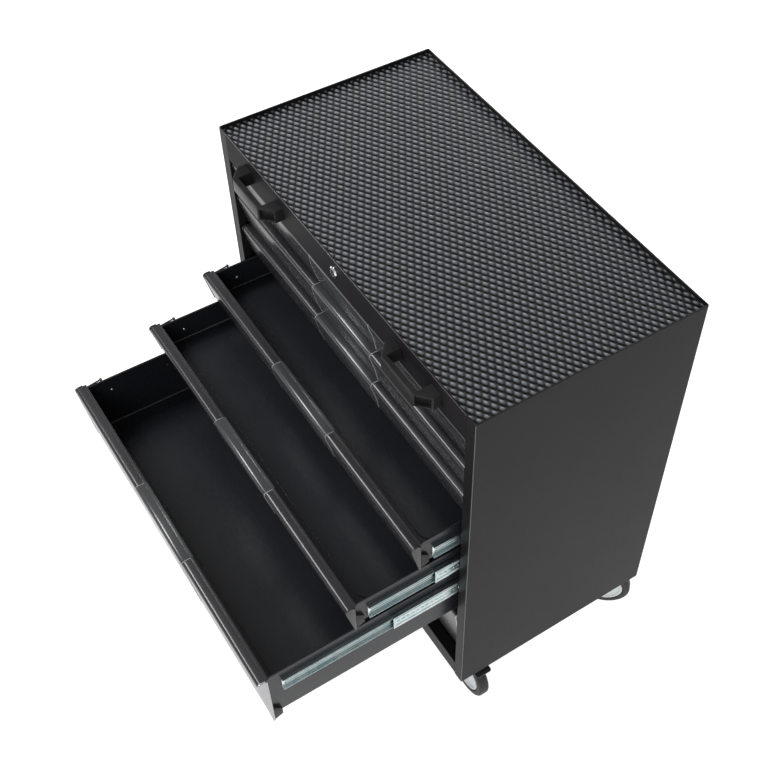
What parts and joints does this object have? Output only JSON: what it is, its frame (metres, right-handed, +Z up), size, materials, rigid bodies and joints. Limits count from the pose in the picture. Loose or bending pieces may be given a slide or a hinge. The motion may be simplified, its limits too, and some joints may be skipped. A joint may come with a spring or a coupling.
{
  "type": "rolling tool cabinet",
  "caption": "Steel rolling tool cabinet with wedge-fronted drawers on telescopic runners, ribbed top mat, two bow handles, a central lock and swivel casters",
  "frame": {"origin": "on the floor, under the middle of the overall outline with the drawers as pictured", "axes": "+X to the right seen from the front, +Y to the back, +Z up"},
  "size_m": [0.954, 0.9622, 1.075],
  "materials": {
    "cabinet_paint": "dark grey fine-texture powder coat",
    "front_paint": "mid grey powder coat",
    "drawer_paint": "near-black powder coat",
    "mat_rubber": "ribbed woven top mat",
    "zinc_plate": "bright zinc plate",
    "black_plastic": "moulded black plastic",
    "lock_chrome": "chromed lock",
    "rim_plastic": "light grey moulded rim",
    "tyre_rubber": "black rubber tread"
  },
  "bodies": {
    "cabinet": {"left_side_panel": "cabinet_paint", "right_side_panel": "cabinet_paint", "back_panel": "cabinet_paint", "base_panel": "cabinet_paint", "top_panel": "cabinet_paint", "top_mat": "mat_rubber", "top_rail": "cabinet_paint", "bottom_rail": "cabinet_paint", "runner_uprights": "cabinet_paint", "cabinet_runner_members": "zinc_plate", "pull_handle_left": "black_plastic", "pull_handle_right": "black_plastic", "lock_barrel": "lock_chrome", "caster_plates": "zinc_plate", "caster_bolts": "zinc_plate"},
    "lock_plug": {"lock_plug": "lock_chrome"},
    "lock_bar": {"lock_bar": "zinc_plate"},
    "drawer_1": {"drawer_1_box": "drawer_paint", "drawer_1_front": "front_paint", "drawer_1_inner_runners": "zinc_plate"},
    "middle_1": {"drawer_1_middle_runners": "zinc_plate"},
    "drawer_2": {"drawer_2_box": "drawer_paint", "drawer_2_front": "front_paint", "drawer_2_inner_runners": "zinc_plate"},
    "middle_2": {"drawer_2_middle_runners": "zinc_plate"},
    "drawer_3": {"drawer_3_box": "drawer_paint", "drawer_3_front": "front_paint", "drawer_3_inner_runners": "zinc_plate"},
    "middle_3": {"drawer_3_middle_runners": "zinc_plate"},
    "drawer_4": {"drawer_4_box": "drawer_paint", "drawer_4_front": "front_paint", "drawer_4_inner_runners": "zinc_plate"},
    "middle_4": {"drawer_4_middle_runners": "zinc_plate"},
    "drawer_5": {"drawer_5_box": "drawer_paint", "drawer_5_front": "front_paint", "drawer_5_inner_runners": "zinc_plate"},
    "middle_5": {"drawer_5_middle_runners": "zinc_plate"},
    "drawer_6": {"drawer_6_box": "drawer_paint", "drawer_6_front": "front_paint", "drawer_6_inner_runners": "zinc_plate"},
    "middle_6": {"drawer_6_middle_runners": "zinc_plate"},
    "drawer_7": {"drawer_7_box": "drawer_paint", "drawer_7_front": "front_paint", "drawer_7_inner_runners": "zinc_plate"},
    "middle_7": {"drawer_7_middle_runners": "zinc_plate"},
    "caster_front_left": {"front_left_fork": "zinc_plate"},
    "wheel_front_left": {"front_left_rim": "rim_plastic", "front_left_tyre": "tyre_rubber"},
    "pedal_front_left": {"front_left_pedal": "black_plastic"},
    "caster_front_right": {"front_right_fork": "zinc_plate"},
    "wheel_front_right": {"front_right_rim": "rim_plastic", "front_right_tyre": "tyre_rubber"},
    "pedal_front_right": {"front_right_pedal": "black_plastic"},
    "caster_rear_left": {"rear_left_fork": "zinc_plate"},
    "wheel_rear_left": {"rear_left_rim": "rim_plastic", "rear_left_tyre": "tyre_rubber"},
    "caster_rear_right": {"rear_right_fork": "zinc_plate"},
    "wheel_rear_right": {"rear_right_rim": "rim_plastic", "rear_right_tyre": "tyre_rubber"}
  },
  "joints": [
    {"name": "lock_turn", "type": "hinge", "parent": "cabinet", "child": "lock_plug", "pos_m": [0, -0.03902, 1.046], "axis": [0, -1, 0], "range_deg": [0, 90]},
    {"name": "lock_slide", "type": "slide", "parent": "cabinet", "child": "lock_bar", "axis": [1, 0, 0], "range_m": [0, 0.008]},
    {"name": "drawer_1_slide", "type": "slide", "parent": "cabinet", "child": "drawer_1", "axis": [0, -1, 0], "range_m": [0, 0.45]},
    {"name": "middle_1_slide", "type": "slide", "parent": "cabinet", "child": "middle_1", "axis": [0, -1, 0], "range_m": [0, 0.225]},
    {"name": "drawer_2_slide", "type": "slide", "parent": "cabinet", "child": "drawer_2", "axis": [0, -1, 0], "range_m": [0, 0.45]},
    {"name": "middle_2_slide", "type": "slide", "parent": "cabinet", "child": "middle_2", "axis": [0, -1, 0], "range_m": [0, 0.225]},
    {"name": "drawer_3_slide", "type": "slide", "parent": "cabinet", "child": "drawer_3", "axis": [0, -1, 0], "range_m": [0, 0.45]},
    {"name": "middle_3_slide", "type": "slide", "parent": "cabinet", "child": "middle_3", "axis": [0, -1, 0], "range_m": [0, 0.225]},
    {"name": "drawer_4_slide", "type": "slide", "parent": "cabinet", "child": "drawer_4", "axis": [0, -1, 0], "range_m": [-0.108, 0.342]},
    {"name": "middle_4_slide", "type": "slide", "parent": "cabinet", "child": "middle_4", "axis": [0, -1, 0], "range_m": [-0.054, 0.171]},
    {"name": "drawer_5_slide", "type": "slide", "parent": "cabinet", "child": "drawer_5", "axis": [0, -1, 0], "range_m": [-0.252, 0.198]},
    {"name": "middle_5_slide", "type": "slide", "parent": "cabinet", "child": "middle_5", "axis": [0, -1, 0], "range_m": [-0.126, 0.099]},
    {"name": "drawer_6_slide", "type": "slide", "parent": "cabinet", "child": "drawer_6", "axis": [0, -1, 0], "range_m": [-0.444, 0.006]},
    {"name": "middle_6_slide", "type": "slide", "parent": "cabinet", "child": "middle_6", "axis": [0, -1, 0], "range_m": [-0.222, 0.003]},
    {"name": "drawer_7_slide", "type": "slide", "parent": "cabinet", "child": "drawer_7", "axis": [0, -1, 0], "range_m": [0, 0.45]},
    {"name": "middle_7_slide", "type": "slide", "parent": "cabinet", "child": "middle_7", "axis": [0, -1, 0], "range_m": [0, 0.225]},
    {"name": "swivel_front_left", "type": "hinge", "parent": "cabinet", "child": "caster_front_left", "pos_m": [-0.365, 0.02298, 0.14], "axis": [0, 0, 1], "continuous": true},
    {"name": "roll_front_left", "type": "hinge", "parent": "caster_front_left", "child": "wheel_front_left", "pos_m": [-0.405, 0.02298, 0.0625], "axis": [0, -1, 0], "continuous": true},
    {"name": "brake_front_left", "type": "hinge", "parent": "caster_front_left", "child": "pedal_front_left", "pos_m": [-0.419, 0.02298, 0.134], "axis": [0, -1, 0], "range_deg": [0, 10]},
    {"name": "swivel_front_right", "type": "hinge", "parent": "cabinet", "child": "caster_front_right", "pos_m": [0.365, 0.02298, 0.14], "axis": [0, 0, 1], "continuous": true},
    {"name": "roll_front_right", "type": "hinge", "parent": "caster_front_right", "child": "wheel_front_right", "pos_m": [0.405, 0.02298, 0.0625], "axis": [0, 1, 0], "continuous": true},
    {"name": "brake_front_right", "type": "hinge", "parent": "caster_front_right", "child": "pedal_front_right", "pos_m": [0.419, 0.02298, 0.134], "axis": [0, 1, 0], "range_deg": [0, 10]},
    {"name": "swivel_rear_left", "type": "hinge", "parent": "cabinet", "child": "caster_rear_left", "pos_m": [-0.365, 0.40198, 0.14], "axis": [0, 0, 1], "continuous": true},
    {"name": "roll_rear_left", "type": "hinge", "parent": "caster_rear_left", "child": "wheel_rear_left", "pos_m": [-0.39328, 0.43026, 0.0625], "axis": [-0.7071, -0.7071, 0], "continuous": true},
    {"name": "swivel_rear_right", "type": "hinge", "parent": "cabinet", "child": "caster_rear_right", "pos_m": [0.365, 0.40198, 0.14], "axis": [0, 0, 1], "continuous": true},
    {"name": "roll_rear_right", "type": "hinge", "parent": "caster_rear_right", "child": "wheel_rear_right", "pos_m": [0.39328, 0.43026, 0.0625], "axis": [-0.7071, 0.7071, 0], "continuous": true}
  ],
  "couplings": [
    {"joint": "lock_turn", "follows": "lock_slide", "rad_per_m": 196.34},
    {"joint": "middle_1_slide", "follows": "drawer_1_slide", "ratio": 0.5},
    {"joint": "middle_2_slide", "follows": "drawer_2_slide", "ratio": 0.5},
    {"joint": "middle_3_slide", "follows": "drawer_3_slide", "ratio": 0.5},
    {"joint": "middle_4_slide", "follows": "drawer_4_slide", "ratio": 0.5},
    {"joint": "middle_5_slide", "follows": "drawer_5_slide", "ratio": 0.5},
    {"joint": "middle_6_slide", "follows": "drawer_6_slide", "ratio": 0.5},
    {"joint": "middle_7_slide", "follows": "drawer_7_slide", "ratio": 0.5}
  ]
}
